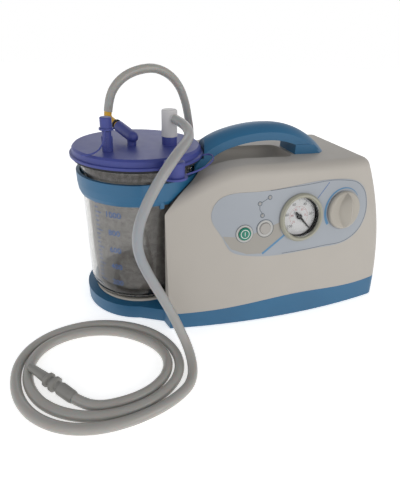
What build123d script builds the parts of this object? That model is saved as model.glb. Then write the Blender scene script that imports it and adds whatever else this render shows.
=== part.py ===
from build123d import *
import os
from math import asin, cos, pi, radians, sin, tan

# ---------------------------------------------------------------------------
# Portable suction pump with a one-litre collection jar. Millimetres, +Z up.
# Origin: on the table, under the middle of the pump's box without its hoses.
# +X runs to the motor end, away from the jar; -Y is the control panel's side.
# ---------------------------------------------------------------------------

# casing
HALF_LENGTH = 177.0
BACK_Y = 90.0
BACK_LEAN = 3.0
FRONT_LEAN = 11.5
FRONT_R = 790.0
FRONT_X = 13.0
FRONT_Y = -91.5
TOP_Z = 168.5
LEFT_X = -90.0
EDGE_R = 13.0
BACK_EDGE_R = 11.0
WALL = 2.6
BASE_Z = 1.5
FLOOR_T = 3.0

# jar bay
JAR_X = -106.0
JAR_Y = 6.0
BAY_R = 67.0
PLATFORM_R = 65.8
PLATFORM_Z = 17.0
SEAT_R = 55.8
SEAT_Z = 18.8

# jar, lid and ring
JAR_R = 60.0
JAR_WALL = 2.2
JAR_FOOT_Z = 19.0
JAR_SHOULDER_Z = 168.0
JAR_TOP_Z = 176.0
RING_R = 64.8
RING_BORE = 61.2
RING_LOW_Z = 133.5
RING_TOP_Z = 156.0
LID_R = 66.4
LID_FLANGE_R = 69.2
LID_LOW_Z = 171.2
LID_TOP_Z = 181.0

# handle
HANDLE_W = 36.0
HANDLE_SIDE = 8.5
HANDLE_DOME = 8.0
FOOT_X0 = 66.0
FOOT_X1 = 109.0
FOOT_W = 40.0
FOOT_ROUND = 15.0
GROOVE_TURN = -88.0
GROOVE_W = 15.0
TROUGH_W = 52.0
TROUGH_Z = 151.0

# lid ports and caps
FILL_X, FILL_Y = -138.0, -23.9
FILL_CAP_Z = 201.0
BARREL_X, BARREL_Y = -112.8, -3.8
BARREL_R = 5.8
WHITE_X, WHITE_Y = -73.9, -4.8
OUTLET_LENGTH = 10.4
OUTLET_DIR = (0.36, -0.925, -0.12)
HANG_AT = (-83.0, -71.0)

# hoses: outside diameter, and the corners of each route from its upper end
HOSE_D = 9.4
INLET_X, INLET_Y = -34.0, 64.0
VACUUM_ROUTE = [(-131.6, 41.3, 206.4), (-129.4, 41.8, 219.5), (-122.5, 43.5, 232),
    (-110.5, 46.3, 241.8), (-95, 50, 247.5), (-77, 54.3, 249), (-60.5, 58, 242.3), (-48.3, 60.9, 229.5),
    (-41, 62.5, 212.5), (-37, 63.5, 194.5), (-34, 64, 178.5), (-34, 64, 167.6)]
PATIENT_ROUTE = [(-70.2, -14.5, 207.7), (-65.5, -26.5, 206.2), (-62.6, -40.5, 202.6), (-65.6, -55, 198),
    (-75.5, -70, 194), (-88.5, -87, 187), (-102, -96.5, 172.5), (-114.5, -101, 153),
    (-123, -104.5, 131.5), (-123, -106, 110.5), (-114.5, -108, 88), (-102.5, -111, 63.5),
    (-93.5, -115, 44), (-86.5, -120.5, 26.5), (-82.8, -126.7, 17.5), (-80.9, -135.3, 10.9),
    (-81, -146.5, 6.3), (-84, -158, 4.7), (-90, -168, 4.7), (-99.5, -175.5, 4.7),
    (-112.5, -182.5, 4.7), (-127.5, -187.8, 4.7), (-144, -191.5, 4.7), (-164, -193, 4.7),
    (-183, -190.5, 4.7), (-200, -184.5, 4.7), (-215, -174.5, 4.7), (-227, -161.5, 4.7),
    (-236, -144.5, 4.7), (-240.5, -124, 4.7), (-239.5, -103.5, 4.7), (-231.5, -86.5, 4.7),
    (-218, -74, 4.7), (-201, -66, 4.7), (-177, -62, 4.7), (-152, -66, 4.7), (-129, -76, 4.7),
    (-109.5, -91, 4.7), (-96.5, -110.5, 4.7), (-91, -131, 4.7), (-94, -149, 4.7), (-104, -163.5, 4.7),
    (-119.5, -174, 4.7), (-138, -180.5, 4.7), (-157.5, -182.5, 4.7), (-176, -180.5, 4.7),
    (-194, -173.5, 4.7), (-209.5, -163, 4.7), (-221.5, -149, 4.7), (-229.5, -130, 4.7),
    (-230, -109.5, 4.7), (-223.5, -93, 4.7), (-212, -82, 4.7), (-197, -75.5, 4.7), (-180, -73.2, 4.7),
    (-162, -75, 4.7), (-142.5, -81.5, 4.7), (-123, -94.5, 4.7), (-107.5, -112, 4.7),
    (-101.5, -131, 4.7), (-106, -148.5, 4.7), (-118.5, -161.5, 4.7), (-135, -169, 4.7),
    (-152.8, -171.8, 4.7), (-167.8, -171.5, 4.8), (-179.9, -166.9, 5.3), (-189, -159, 6.3)]
FITTING_DIR = (-0.68, 0.72, 0.11)

# front panel places, (x, z) on the leaning front face
GAUGE_AT = (57.7, 113.4)
KNOB_AT = (112.4, 115.6)
POWER_AT = (-8.0, 101.7)
GREY_AT = (15.0, 105.6)
LAMPS_AT = [(8.5, 131.8), (19.5, 137.6), (11.6, 119.4)]
GAUGE_HOLE = 23.6
KNOB_HOLE = 4.2
POWER_R = 6.8
GREY_R = 6.3
BUTTON_GAP = 0.4
LAMP_HOLE = 1.3
GAUGE_REST = -46.0

# drive
MOTOR_Y = 22.0
MOTOR_Z = 66.0
CRANK_THROW = 5.0
CRANK_R = 10.0
CYL_X = 6.0

# under and behind
FEET_AT = [(-138, -26), (-138, 38), (150, -60), (150, 66)]
MOUNTS_AT = [(26, -14), (26, 58), (104, -14), (104, 58)]
COVER_SCREWS_AT = [(-60, -74), (-60, 77), (138, -66), (138, 77)]
PAD_TOP_Z = 36.0
VENT_XS = [-40 + 7 * k for k in range(8)]
SOCKET_AT = (118.0, 60.0)
GRILLE_AT = (-12.0, 59.0)


def place(x, y, z):
    return Location((x, y, z))


def rod(x, y, z0, z1, r, bore=0.0):
    """Upright round bar or tube from z0 to z1."""
    body = place(x, y, (z0 + z1) / 2) * Cylinder(r, z1 - z0)
    if bore:
        body -= place(x, y, (z0 + z1) / 2) * Cylinder(bore, z1 - z0 + 2)
    return body


def rod_x(x0, x1, y, z, r, bore=0.0):
    """Round bar or tube along X."""
    turn = Location(((x0 + x1) / 2, y, z), (0, 90, 0))
    body = turn * Cylinder(r, x1 - x0)
    if bore:
        body -= turn * Cylinder(bore, x1 - x0 + 2)
    return body


def block(x0, x1, y0, y1, z0, z1):
    size = Box(x1 - x0, y1 - y0, z1 - z0)
    return place((x0 + x1) / 2, (y0 + y1) / 2, (z0 + z1) / 2) * size


def front_frame(x, z):
    """Plane on the bowed, leaning front face: its Z points out, its X runs level."""
    lean = radians(FRONT_LEAN)
    up = Vector(0, sin(lean), cos(lean))
    out = Vector(0, -cos(lean), sin(lean))
    phi = asin((x - FRONT_X) / FRONT_R)
    sag = FRONT_R * (1 - cos(phi))
    along = (z + sag * sin(lean)) / cos(lean)
    spot = Vector(FRONT_X, FRONT_Y, 0) + up * along - out * sag
    spot = spot + Vector(FRONT_R * sin(phi), 0, 0)
    normal = Vector(1, 0, 0) * sin(phi) + out * cos(phi)
    level = up.cross(normal)
    return Plane(origin=spot, x_dir=level, z_dir=normal)


def back_frame(x, z):
    """Plane on the leaning back wall: its Z points out."""
    back = radians(BACK_LEAN)
    normal = Vector(0, cos(back), sin(back))
    return Plane(origin=(x, BACK_Y - z * tan(back), z), x_dir=(1, 0, 0), z_dir=normal)


def on_front(at, r, z0, z1, bore=0.0):
    """Round bar or tube standing on the front face, from depth z0 to height z1."""
    frame = front_frame(*at)
    body = frame * Pos(0, 0, (z0 + z1) / 2) * Cylinder(r, z1 - z0)
    if bore:
        body -= frame * Pos(0, 0, (z0 + z1) / 2) * Cylinder(bore, z1 - z0 + 2)
    return body


def front_drum(r):
    """The bowed front: a big leaning cylinder that the casing lies inside."""
    lean = radians(FRONT_LEAN)
    up = Vector(0, sin(lean), cos(lean))
    out = Vector(0, -cos(lean), sin(lean))
    axis = Plane(origin=Vector(FRONT_X, FRONT_Y, 0) - out * FRONT_R, z_dir=up)
    return axis * Cylinder(r, 900)


def side_outline():
    """Casing seen from the front: sloped shoulder, flat top, long rounded end."""
    corners = Polyline((HALF_LENGTH, 0), (-130, 0), (-130, 113.5), (-27, TOP_Z), (147.5, TOP_Z))
    end = ThreePointArc((147.5, TOP_Z), (171.0, 105), (HALF_LENGTH, 0))
    face = make_face(corners.edges() + end.edges())
    shoulder = face.vertices().sort_by_distance((-27, TOP_Z, 0))[0]
    face = fillet(shoulder, 130)
    nose = face.vertices().sort_by_distance((147.5, TOP_Z, 0))[0]
    return fillet(nose, 14)


def trough(grow):
    """Finger trough under the handle."""
    half = TROUGH_W / 2 + grow
    low = TROUGH_Z - grow
    cut = block(-75, FOOT_X0 - 4 + grow, -half, half, low, 190)
    edges = cut.edges().filter_by(Axis.X).group_by(Axis.Z)[0]
    cut = fillet(edges, 14)
    end = cut.edges().filter_by(Axis.Z).group_by(Axis.X)[-1]
    return fillet(end, 11)


def upper_rims(face):
    """The rims of a front or back wall, apart from the ones that are cut off later."""
    return [e for e in face.edges() if e.center().Z > 12 and e.center().X > -126]


def casing_block(inset, bay=True):
    """Outer body of the pump, or its cavity when inset by the wall."""
    face = side_outline()
    if inset:
        face = offset(face, -inset, kind=Kind.INTERSECTION)
    body = extrude(Rot(90, 0, 0) * face, 120, both=True)
    back = radians(BACK_LEAN)
    normal = Vector(0, cos(back), sin(back))
    rear = Plane(origin=Vector(0, BACK_Y, 0) - normal * inset, z_dir=normal)
    body -= rear * Pos(0, 0, 200) * Box(700, 700, 400)
    body &= front_drum(FRONT_R - inset)
    wall = body.faces().filter_by(lambda f: f.normal_at().Y > 0.99).sort_by(SortBy.AREA)[-1]
    body = fillet(upper_rims(wall), BACK_EDGE_R - inset)
    drum = body.faces().filter_by(lambda f: f.geom_type == GeomType.CYLINDER and f.radius > 500)
    body = fillet(upper_rims(drum.sort_by(Axis.Y)[0]), EDGE_R - inset)
    if bay:
        body -= rod(JAR_X, JAR_Y, -10, 250, BAY_R + inset)
        body -= block(-200, LEFT_X + inset, -150, 150, -10, 250)
        body -= trough(inset)
    return body


def below_parting():
    """Everything under the wavy line where the casing meets the base."""
    wave = Spline((-200, 18.5), (-140, 18), (-90, 18), (-34, 19.6), (64, 26.2), (117, 23.6), (200, 29))
    low = Polyline((200, 29), (200, -20), (-200, -20), (-200, 18.5))
    face = make_face(wave.edges() + low.edges())
    return extrude(Rot(90, 0, 0) * face, 150, both=True)


def panel_cuts():
    """Holes for the gauge, the knob's stem, the buttons and the lamps."""
    cuts = on_front(GAUGE_AT, GAUGE_HOLE, -12, 6) + on_front(KNOB_AT, KNOB_HOLE, -12, 6)
    cuts += on_front(POWER_AT, POWER_R + BUTTON_GAP, -12, 6)
    cuts += on_front(GREY_AT, GREY_R + BUTTON_GAP, -12, 6)
    for at in LAMPS_AT:
        cuts += on_front(at, LAMP_HOLE, -12, 6)
    return cuts


def cavity(bay=True):
    """Hollow of the casing, less the four screw pads that stand against its walls."""
    hollow = casing_block(WALL, bay)
    for x, y in COVER_SCREWS_AT:
        near = 5 if y < 0 else -5
        far = -30 if y < 0 else 30
        hollow -= block(x - 6, x + 6, min(y + near, y + far), max(y + near, y + far), -5, PAD_TOP_Z)
    return hollow


def casing_cover():
    body = casing_block(0) - cavity()
    body -= below_parting()
    for x, y in COVER_SCREWS_AT:
        body -= rod(x, y, 0, PAD_TOP_Z - 3, 1.52)
    body -= panel_cuts()
    body -= inlet_window()
    for x in VENT_XS:
        body -= block(x, x + 3, 70, 100, 40, 78)
    return body - rod(INLET_X, INLET_Y, 140, 180, 4.1)


def base_tray():
    deck = casing_block(0, bay=False) & below_parting()
    deck &= block(LEFT_X, 300, -200, 200, BASE_Z, 60)
    disc = rod(JAR_X, JAR_Y, BASE_Z, PLATFORM_Z, PLATFORM_R)
    flare = Polyline((-119, -58.5), (-94, -70.5), (-90, -84.5), (-60, -60), (-60, 60), (-90, 82), (-94, 82),
                     (-119, 70.5), close=True)
    body = deck + disc + extrude(place(0, 0, BASE_Z) * make_face(flare), PLATFORM_Z - BASE_Z)
    body -= cavity() & block(-200, 200, -200, 200, BASE_Z + FLOOR_T, 60)
    pocket = rod(JAR_X, JAR_Y, 0, 12.5, 57)
    for x, y in FEET_AT[:2]:
        pocket -= rod(x, y, 0, 13, 9)
    body -= pocket
    body -= rod(JAR_X, JAR_Y, SEAT_Z - 3.8, 60, SEAT_R + 0.3)
    for x, y in FEET_AT:
        body -= rod(x, y, 0, BASE_Z + 1.0, 7.0)
    for x, y in MOUNTS_AT:
        body -= rod(x, y, 0, 6, 2.1)
    for x, y in COVER_SCREWS_AT:
        body -= rod(x, y, 0, 40, 1.6)
    return body


def base_feet():
    feet = [rod(x, y, 0, BASE_Z + 1.0, 6.9) for x, y in FEET_AT]
    return Compound(children=[fillet(f.edges().group_by(Axis.Z)[0], 0.8) for f in feet])


def jar_seat():
    disc = rod(JAR_X, JAR_Y, SEAT_Z - 3.8, SEAT_Z, SEAT_R)
    return chamfer(disc.edges().group_by(Axis.Z)[-1], 0.8)


def handle_section():
    """Flat under, low sides and a domed top, standing on the path."""
    half = HANDLE_W / 2
    lines = Polyline((-half, HANDLE_SIDE), (-half, 0), (half, 0), (half, HANDLE_SIDE))
    dome = ThreePointArc((half, HANDLE_SIDE), (0, HANDLE_SIDE + HANDLE_DOME), (-half, HANDLE_SIDE))
    return make_face(lines.edges() + dome.edges())


def carry_handle():
    """Arched handle and jar ring in one moulding."""
    path = Spline((-44, 0, 146), (-28, 0, 169.5), (-5, 0, 179.5), (26, 0, 184.5), (56, 0, 182),
                  (80, 0, 171.5), (99, 0, 155))
    start = Plane(origin=path @ 0, x_dir=(0, 1, 0), z_dir=path % 0)
    arch = sweep(start * handle_section(), path=path, transition=Transition.ROUND)
    foot = Polyline((FOOT_X0, 160), (FOOT_X0, 179), (FOOT_X0 + 22, 179), (FOOT_X1 - 6, 168),
                    (FOOT_X1 - 6, 160), close=True)
    heel = extrude(Rot(90, 0, 0) * make_face(foot), FOOT_W / 2 - 1, both=True)
    arch += fillet(heel.edges().filter_by(Axis.Z).group_by(Axis.X)[-1], FOOT_ROUND)
    arch -= block(-10, 200, -60, 60, 100, TOP_Z + 0.1)
    profile = Polyline((RING_BORE, RING_LOW_Z), (62.4, RING_LOW_Z), (64.0, 137.5), (RING_R, 145),
                       (RING_R, RING_TOP_Z), (RING_BORE, RING_TOP_Z), close=True)
    ring = revolve(Rot(90, 0, 0) * make_face(profile), Axis.Z)
    ring = place(JAR_X, JAR_Y, 0) * ring
    arch -= rod(JAR_X, JAR_Y, 100, 171, RING_BORE)
    arch -= rod(JAR_X, JAR_Y, 167.6, 230, LID_FLANGE_R + 1.2)
    arch -= rod(JAR_X, JAR_Y, 100, TROUGH_Z + 2, BAY_R + 60) - rod(JAR_X, JAR_Y, 90, 160, RING_R)
    ring -= place(JAR_X, JAR_Y, 145) * Rot(0, 0, GROOVE_TURN) * Pos(RING_R, 0, 0) * Box(2.4, GROOVE_W, 40)
    lug = place(JAR_X, JAR_Y, 0) * Rot(0, 0, -77) * block(61.4, 63.6, -2.2, 2.2, RING_LOW_Z - 3.2, 140)
    return ring + arch + lug


def bay_seal():
    """Thin black seal between the ring and the casing's bay."""
    band = rod(JAR_X, JAR_Y, RING_LOW_Z + 1, 150.8, BAY_R - 0.1, RING_R + 0.1)
    band &= block(LEFT_X + 3, 0, -150, 150, 0, 300)
    return band & (casing_block(0, bay=False) - trough(0))


def label_outline():
    """Outline of the control panel label, in the front view."""
    return Spline((-43, 126), (-38, 135.6), (4, 144), (55, 148.2), (112, 149.4), (137, 141),
                  (148, 120), (143.5, 95), (126, 80.5), (85, 76.5), (36, 74.8), (-6, 77.8), (-24, 85),
                  (-32, 99), periodic=True)


def control_label():
    skin = front_drum(FRONT_R + 0.35) - front_drum(FRONT_R)
    patch = extrude(Rot(90, 0, 0) * make_face(label_outline()), 140)
    patch &= block(-200, 200, -140, 0, 0, 200)
    return (skin & patch) - panel_cuts()


def front_turned(at, points):
    """Body of revolution on the front face, from (radius, height) points."""
    return front_frame(*at) * revolve(Rot(90, 0, 0) * make_face(Polyline(*points, close=True)), Axis.Z)


def gauge_case():
    """Cup through the casing with a sloped bezel in front."""
    profile = [(0, -26), (23.3, -26), (23.3, 0.5), (26.3, 0.5), (26.3, 2.2), (24.6, 4.6), (22.6, 4.6),
               (21.4, 2.6), (21.4, -24), (0, -24)]
    return front_turned(GAUGE_AT, profile)


def gauge_dial():
    return on_front(GAUGE_AT, 21.2, -5.6, -4.8, bore=1.6)


def gauge_lens():
    return on_front(GAUGE_AT, 21.2, 0.8, 2.2)


def gauge_pointer():
    """Needle with a short tail on its arbor; it rests at the zero stop, low on the right."""
    frame = front_frame(*GAUGE_AT)
    hub = frame * Pos(0, 0, -3.0) * Cylinder(2.9, 1.6)
    arbor = frame * Pos(0, 0, -9.0) * Cylinder(1.5, 12.0)
    outline = Polyline((-7, -1.1), (-7, 1.1), (0, 1.3), (18.2, 0.25), (18.2, -0.25), (0, -1.3), close=True)
    needle = make_face(outline)
    needle = frame * Rot(0, 0, GAUGE_REST) * Pos(0, 0, -3.2) * extrude(needle, 0.8)
    return hub + arbor + needle


def gauge_movement():
    """Bellows box behind the dial that the pointer's arbor runs in."""
    return on_front(GAUGE_AT, 12, -24, -5.6, bore=1.6)


def suction_knob():
    """Round skirt with a raised lens-shaped grip, on a stem."""
    frame = front_frame(*KNOB_AT)
    skirt = front_turned(KNOB_AT, [(0, 1.0), (21.4, 1.0), (21.4, 3.6), (19.6, 5.6), (0, 5.6)])
    half = 18.8
    grip = make_face(ThreePointArc((0, half), (6.4, 0), (0, -half)).edges()
                     + ThreePointArc((0, -half), (-6.4, 0), (0, half)).edges())
    bar = Pos(0, 0, 1.0) * extrude(grip, 16.0)
    bar = fillet(bar.edges().group_by(Axis.Z)[-1], 1.6)
    stem = frame * Pos(0, 0, -11.0) * Cylinder(3.0, 24.0)
    return skirt + frame * bar + stem


def regulator_valve():
    """Needle valve that the knob's stem turns in."""
    body = on_front(KNOB_AT, 10, -34, -5)
    body -= on_front(KNOB_AT, 3.05, -24, -4)
    spout = front_frame(*KNOB_AT) * Pos(0, -14, -28) * Rot(90, 0, 0) * Cylinder(3, 12)
    return body + spout


def push_button(at, r, height):
    """Cap on a narrower plunger."""
    cap = front_turned(at, [(0, -3.0), (r, -3.0), (r, height - 0.7), (r - 0.7, height), (0, height)])
    return cap + on_front(at, 3.0, -12, -2.5)


def button_bezel(at, r):
    """Flat ring round a button."""
    return on_front(at, r + 2.4, 0.35, 1.0, bore=r + 0.3)


def lamps():
    return Compound(children=[on_front(at, 1.2, -4, 0.7) for at in LAMPS_AT])


def control_board():
    """Circuit board behind the buttons, with a clearance hole for each plunger."""
    frame = front_frame(4, 113)
    board = frame * Pos(0, 0, -16) * Box(52, 52, 1.6)
    board -= on_front(POWER_AT, 4.0, -20, -12)
    board -= on_front(GREY_AT, 4.0, -20, -12)
    relay = frame * Pos(2, 16, -22) * Box(18, 14, 10.4)
    return board + relay


def jar():
    """Round jar: rounded foot, straight wall, narrowed neck."""
    outer = Polyline((0, JAR_FOOT_Z), (50, JAR_FOOT_Z), (55.5, 21), (58.8, 26), (JAR_R, 33),
                     (JAR_R, JAR_SHOULDER_Z), (58.0, JAR_SHOULDER_Z), (58.0, JAR_TOP_Z), (55.8, JAR_TOP_Z),
                     (55.8, JAR_SHOULDER_Z - 4), (JAR_R - JAR_WALL, JAR_SHOULDER_Z - 8),
                     (JAR_R - JAR_WALL, 34), (57, 28), (54.5, 24), (49, 21.6), (0, 21.6), close=True)
    return place(JAR_X, JAR_Y, 0) * revolve(Rot(90, 0, 0) * make_face(outer), Axis.Z)


def liner_bag():
    """Thin disposable bag that hangs from the lid, inside the jar."""
    skin = Polyline((0, 24.6), (46, 24.6), (53, 32), (54.6, 60), (54.8, 174), (54.2, 174), (54.0, 60),
                    (52.3, 32.5), (45.6, 25.2), (0, 25.2), close=True)
    return place(JAR_X, JAR_Y, 0) * revolve(Rot(90, 0, 0) * make_face(skin), Axis.Z)


def lid():
    """Shallow cap with an outward flange and three ports on top."""
    shell = Polyline((0, LID_TOP_Z), (LID_R - 2, LID_TOP_Z), (LID_R, LID_TOP_Z - 2), (LID_R + 0.6, 174.2),
                     (LID_FLANGE_R, 173.6), (LID_FLANGE_R, LID_LOW_Z), (59.4, LID_LOW_Z), (59.4, 178.2),
                     (55.2, 178.2), (55.2, 175), (53.2, 175), (53.2, 178.4), (0, 178.4), close=True)
    body = place(JAR_X, JAR_Y, 0) * revolve(Rot(90, 0, 0) * make_face(shell), Axis.Z)
    body += rod(FILL_X, FILL_Y, LID_TOP_Z - 1, 184, 5.2)
    body += rod(FILL_X, FILL_Y, 183.5, FILL_CAP_Z - 1.0, 4.4)
    for turn in range(0, 360, 90):
        rib = place(FILL_X, FILL_Y, 0) * Rot(0, 0, turn) * block(3.5, 5.2, -0.6, 0.6, LID_TOP_Z - 1, 195)
        body += rib
    body += barrel_frame() * Pos(0, 0, 11.5) * Cylinder(BARREL_R, 27)
    body += barrel_frame() * Pos(0, 0, -2) * Sphere(BARREL_R)
    body += rod(BARREL_X, BARREL_Y, LID_TOP_Z - 1, 187, 4.6)
    body -= barrel_frame() * Pos(0, 0, 21) * Cylinder(4.7, 13)
    body += rod(WHITE_X, WHITE_Y, LID_TOP_Z - 1, 189.2, 7.8)
    body -= rod(WHITE_X, WHITE_Y, 170, 200, 4.0)
    body -= rod(FILL_X, FILL_Y, 170, 210, 3.4)
    return body & block(-300, 300, -200, 200, 170, 260)


def barrel_frame():
    """Axis of the barrel port: from its round end, back-left and a little up."""
    return Plane(origin=(BARREL_X, BARREL_Y, 190), z_dir=(-0.40, 0.90, 0.20))


def lid_gasket():
    return rod(JAR_X, JAR_Y, 168.2, 171.1, 66.6, 58.5)


def port_cap():
    """Push-on cap of the filling port, with a finger flange."""
    cap = rod(FILL_X, FILL_Y, FILL_CAP_Z + 1.6, 212.6, 5.6)
    cap = fillet(cap.edges().group_by(Axis.Z)[-1], 1.2)
    return cap + rod(FILL_X, FILL_Y, FILL_CAP_Z, FILL_CAP_Z + 1.7, 7.0)


def rim_strap():
    """Flat tether from the filling port's cap down to the lid's rim."""
    rim_start = (FILL_X - 7.8, FILL_Y - 1.5, FILL_CAP_Z + 0.8)
    path = FilletPolyline(rim_start, (-155, -31, 192), (-163, -38, 182.2), radius=8)
    start = Plane(origin=path @ 0, x_dir=(0.3, -0.95, 0), z_dir=path % 0)
    return sweep(start * Rectangle(2.6, 1.2), path=path)


def elbow_ring():
    """Black ring in the barrel port's mouth."""
    return barrel_frame() * Pos(0, 0, 29.4) * (Cylinder(5.6, 2) - Cylinder(4.2, 4))


def vacuum_elbow():
    """Yellow elbow: out of the barrel, then straight up into the hose."""
    frame = barrel_frame()
    mouth = (frame * Pos(0, 0, 15)).position
    turn = (frame * Pos(0, 0, 50)).position
    path = FilletPolyline(mouth, turn, VACUUM_ROUTE[0], radius=5.5)
    start = Plane(origin=path @ 0, z_dir=path % 0)
    return sweep(start * Circle(4.1), path=path)


def hanging_cap():
    """Spare cap that hangs on its strap in front of the lid's rim, flange down."""
    x, y = HANG_AT
    cap = rod(x, y, 168.5, 182.5, 9.6)
    cap = fillet(cap.edges().group_by(Axis.Z)[-1], 2.0)
    cap += rod(x, y, 166.6, 168.6, 12.2)
    return cap - rod(x, y, 160, 179, 7.6)


def hanging_strap():
    """Loop of flat strap from the hanging cap round to the lid's rim."""
    points = [(-70.6, -66.5, 168.0), (-54, -58, 170.0), (-37.5, -44, 174.0), (-34.5, -30, 174.5),
              (-42.4, -22.9, 172.8)]
    path = FilletPolyline(*points, radius=[30, 10, 5])
    start = Plane(origin=path @ 0, x_dir=(0, 0, 1), z_dir=path % 0)
    return sweep(start * Rectangle(2.4, 1.2), path=path)


def patient_elbow():
    """White elbow on the lid's rear-right port, with its outlet to the front-right."""
    post = rod(WHITE_X, WHITE_Y, 189.3, 215.6, 8.1)
    post = fillet(post.edges().group_by(Axis.Z)[-1], 1.6)
    post += rod(WHITE_X, WHITE_Y, 180.5, 190, 3.9)
    out = Plane(origin=(WHITE_X, WHITE_Y, 209), z_dir=OUTLET_DIR)
    return post + out * Pos(0, 0, OUTLET_LENGTH / 2) * Cylinder(4.0, OUTLET_LENGTH)


def cord_radii(points):
    """For each corner of a route, the largest arc that its two runs allow."""
    radii = []
    for a, b, c in zip(points, points[1:], points[2:]):
        first = Vector(*b) - Vector(*a)
        second = Vector(*c) - Vector(*b)
        turn = radians(first.get_angle(second))
        radii.append(0.45 * min(first.length, second.length) / tan(turn / 2))
    return radii


def cord_tube(name, points, diameter):
    """Solid tube along a route of straight runs and tangent arcs."""
    radii = cord_radii(points)
    path = FilletPolyline(*points, radius=radii)
    start = Plane(origin=path @ 0, z_dir=path % 0)
    tube = sweep(start * Circle(diameter / 2), path=path)
    ideal = pi * diameter ** 2 / 4 * path.length
    print(name, "radii", [round(r, 1) for r in radii])
    print(name, "length", round(path.length, 1), "volume over ideal", round(tube.volume / ideal, 4))
    return tube


def patient_fitting():
    """Hard tapered connector with two collars on the patient hose's end."""
    end = Vector(*PATIENT_ROUTE[-1])
    frame = Plane(origin=end, z_dir=FITTING_DIR)
    profile = Polyline((0, 0), (5.0, 0), (5.6, 3), (5.8, 16), (4.6, 19), (4.6, 21), (6.9, 22), (6.9, 25),
                       (4.4, 26.5), (4.4, 29), (6.5, 30), (6.5, 32.5), (4.6, 34), (3.3, 56), (1.7, 56),
                       (1.7, 6), (0, 6), close=True)
    return frame * revolve(Rot(90, 0, 0) * make_face(profile), Axis.Z)


def vacuum_inlet():
    """Nipple on the casing's shoulder behind the jar; the hose slides off it upwards."""
    body = rod(INLET_X, INLET_Y, 145, 167.4, 4.0, 1.8)
    return body + rod(INLET_X, INLET_Y, 164.5, 167.4, 8.0, 1.8)


def motor_can():
    shell = rod_x(46, 112, MOTOR_Y, MOTOR_Z, 33, 29.5)
    shell += rod_x(44, 47, MOTOR_Y, MOTOR_Z, 33, 6.1)
    shell += rod_x(110, 113, MOTOR_Y, MOTOR_Z, 33, 6.1)
    foot_x = MOUNTS_AT[2][0]
    shell += block(foot_x - 6, foot_x + 6, MOUNTS_AT[2][1] - 6, MOUNTS_AT[3][1] + 6, 30, 36)
    return shell - rod_x(46, 112, MOTOR_Y, MOTOR_Z, 29.5)


def motor_bearings():
    """Two plain bearings in the motor's end plates."""
    left = rod_x(43, 48, MOTOR_Y, MOTOR_Z, 6.0, 4.05)
    right = rod_x(109, 114, MOTOR_Y, MOTOR_Z, 6.0, 4.05)
    return Compound(children=[left, right])


def motor_stator():
    return rod_x(56, 102, MOTOR_Y, MOTOR_Z, 29.3, 19)


def motor_rotor():
    """Shaft, rotor core and the crank disc on its end."""
    body = rod_x(2, 128, MOTOR_Y, MOTOR_Z, 4.0)
    body += rod_x(58, 100, MOTOR_Y, MOTOR_Z, 18.2)
    return body + rod_x(2, 10, MOTOR_Y, MOTOR_Z + CRANK_THROW, CRANK_R)


def cooling_fan():
    """Hub with eight flat blades on the shaft's outer end."""
    hub = rod_x(117, 127, MOTOR_Y, MOTOR_Z, 9, 4.0)
    blades = [hub]
    for k in range(8):
        blade = Box(8, 2.0, 20)
        blade = place(122, MOTOR_Y, MOTOR_Z) * Rot(45 * k, 0, 0) * Pos(0, 0, 18) * Rot(0, 0, 28) * blade
        blades.append(blade)
    fan = blades[0]
    for blade in blades[1:]:
        fan += blade
    return fan - rod_x(110, 135, MOTOR_Y, MOTOR_Z, 4.0)


def crankcase():
    """Open-sided box that carries the cylinder over the crank."""
    body = block(-22, 34, MOTOR_Y - 32, MOTOR_Y + 32, 31, 102)
    foot_x = MOUNTS_AT[0][0]
    body += block(foot_x - 6, foot_x + 6, MOUNTS_AT[0][1] - 6, MOUNTS_AT[1][1] + 6, 30, 37)
    body -= block(-17, 29, MOTOR_Y - 28, MOTOR_Y + 28, 33.6, 97)
    body -= block(-30, -15, MOTOR_Y - 22, MOTOR_Y + 22, 42, 90)
    body -= rod_x(28, 40, MOTOR_Y, MOTOR_Z, 8)
    return body - rod(CYL_X, MOTOR_Y, 90, 110, 19.6)


def pump_cylinder():
    body = rod(CYL_X, MOTOR_Y, 94, 130, 19.5, 16.0)
    for z in (105, 111, 117, 123):
        body += rod(CYL_X, MOTOR_Y, z, z + 2, 24, 18)
    return body


def pump_piston():
    """Piston and rod; the rod's eye is open and clears the crank all the way round."""
    body = rod(CYL_X, MOTOR_Y, 112, 121, 15.93)
    body += block(CYL_X - 3, CYL_X + 3, MOTOR_Y - 5, MOTOR_Y + 5, 90, 113)
    eye = rod_x(CYL_X - 3, CYL_X + 3, MOTOR_Y, MOTOR_Z, 25.5, 22.2)
    return body + eye


def pump_head():
    body = block(CYL_X - 20, CYL_X + 20, MOTOR_Y - 20, MOTOR_Y + 20, 130, 139)
    body -= rod(CYL_X, MOTOR_Y, 120, 134, 15)
    body += rod_x(CYL_X + 19, CYL_X + 26, MOTOR_Y + 10, 135, 3.0, 1.5)
    return body


def rubber_mounts():
    """Four buffers between the base and the motor and crankcase feet."""
    return Compound(children=[rod(x, y, BASE_Z + FLOOR_T, 30, 6.5, 2.1) for x, y in MOUNTS_AT])


def mount_screws():
    """Screws up through the base into the buffers."""
    screws = []
    for x, y in MOUNTS_AT:
        screws.append(rod(x, y, BASE_Z, 24, 2.0))
    return Compound(children=screws)


def inlet_tube():
    """From the nipple inside the shoulder down to the cylinder head."""
    head_y = MOTOR_Y + 10
    path = FilletPolyline((INLET_X, INLET_Y, 145), (INLET_X, INLET_Y, 135.5), (-28, head_y, 134.5),
                          (CYL_X - 20, head_y, 134.5), radius=4)
    start = Plane(origin=path @ 0, z_dir=path % 0)
    return sweep(start * Circle(2.5), path=path)


def exhaust_silencer():
    can = rod_x(44, 84, 66, 118, 11)
    return can + rod_x(36, 45, 66, 118, 3)


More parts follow.
